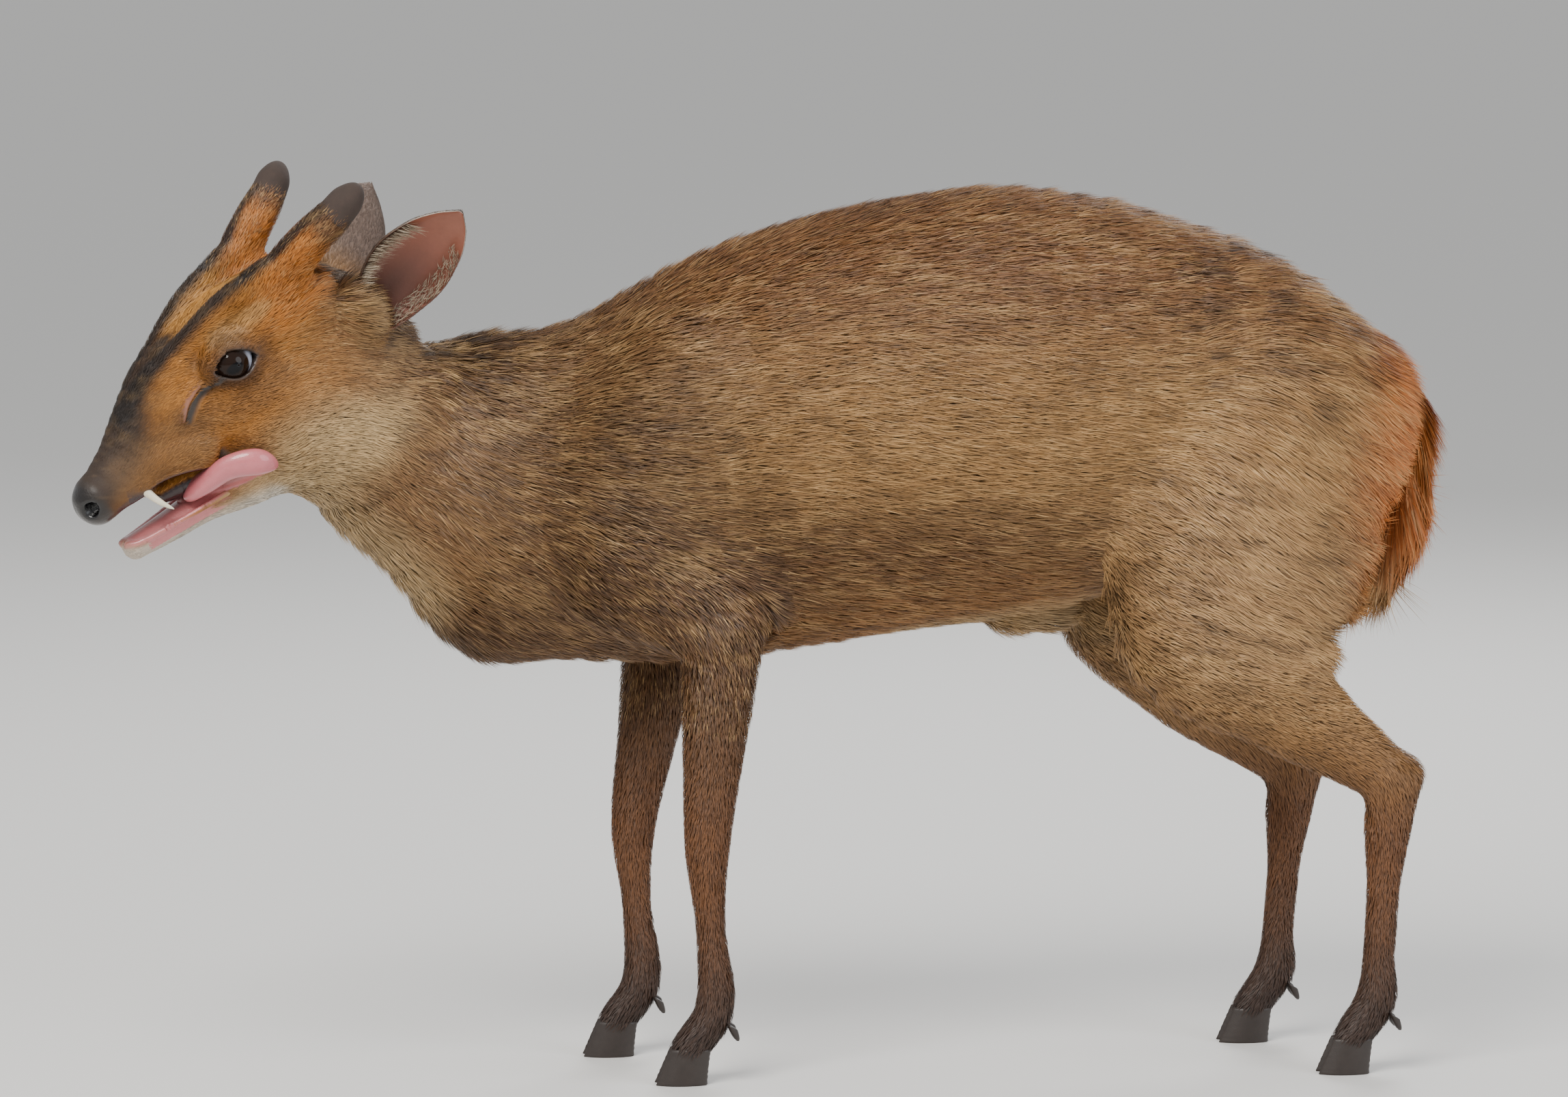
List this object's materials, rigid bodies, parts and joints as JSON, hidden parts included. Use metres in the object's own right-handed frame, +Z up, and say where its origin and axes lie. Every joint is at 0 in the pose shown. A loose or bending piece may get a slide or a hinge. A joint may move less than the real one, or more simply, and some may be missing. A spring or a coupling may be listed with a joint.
{
  "type": "muntjac deer model",
  "caption": "Life-size still model of a muntjac buck standing crouched, head low and turned, mouth open with the tongue curled out, short antlers in velvet.",
  "frame": {"origin": "middle of the animal's box, on the ground under the hooves", "axes": "+Z up, the animal faces -X, its left side faces -Y"},
  "size_m": [0.7618, 0.1836, 0.5156],
  "materials": {
    "body_coat": "short reddish brown hair",
    "face_coat": "short golden hair with dark stripes",
    "tail_coat": "long rusty hair, white beneath",
    "ear": "thinly haired skin",
    "velvet": "dark velvet",
    "nose": "moist and pebbled",
    "mouth": "wet",
    "eye": "polished",
    "ivory": "smooth tooth",
    "horn": "satin hoof horn"
  },
  "bodies": {
    "root": {"torso": "body_coat", "neck": "body_coat", "head": "face_coat", "lower_jaw": "body_coat", "nose_pad": "nose", "tongue": "mouth", "eye_left": "eye", "ear_left": "ear", "pedicle_left": "face_coat", "antler_left": "velvet", "tusk_left": "ivory", "eye_right": "eye", "ear_right": "ear", "pedicle_right": "face_coat", "antler_right": "velvet", "tusk_right": "ivory", "foreleg_left_upper": "body_coat", "foreleg_left_foot": "body_coat", "foreleg_left_hoof_inner": "horn", "foreleg_left_dewclaw_inner": "horn", "foreleg_left_hoof_outer": "horn", "foreleg_left_dewclaw_outer": "horn", "foreleg_right_upper": "body_coat", "foreleg_right_foot": "body_coat", "foreleg_right_hoof_inner": "horn", "foreleg_right_dewclaw_inner": "horn", "foreleg_right_hoof_outer": "horn", "foreleg_right_dewclaw_outer": "horn", "hind_leg_left_upper": "body_coat", "hind_leg_left_foot": "body_coat", "hind_leg_left_hoof_inner": "horn", "hind_leg_left_dewclaw_inner": "horn", "hind_leg_left_hoof_outer": "horn", "hind_leg_left_dewclaw_outer": "horn", "hind_leg_right_upper": "body_coat", "hind_leg_right_foot": "body_coat", "hind_leg_right_hoof_inner": "horn", "hind_leg_right_dewclaw_inner": "horn", "hind_leg_right_hoof_outer": "horn", "hind_leg_right_dewclaw_outer": "horn", "tail": "tail_coat"}
  },
  "joints": []
}
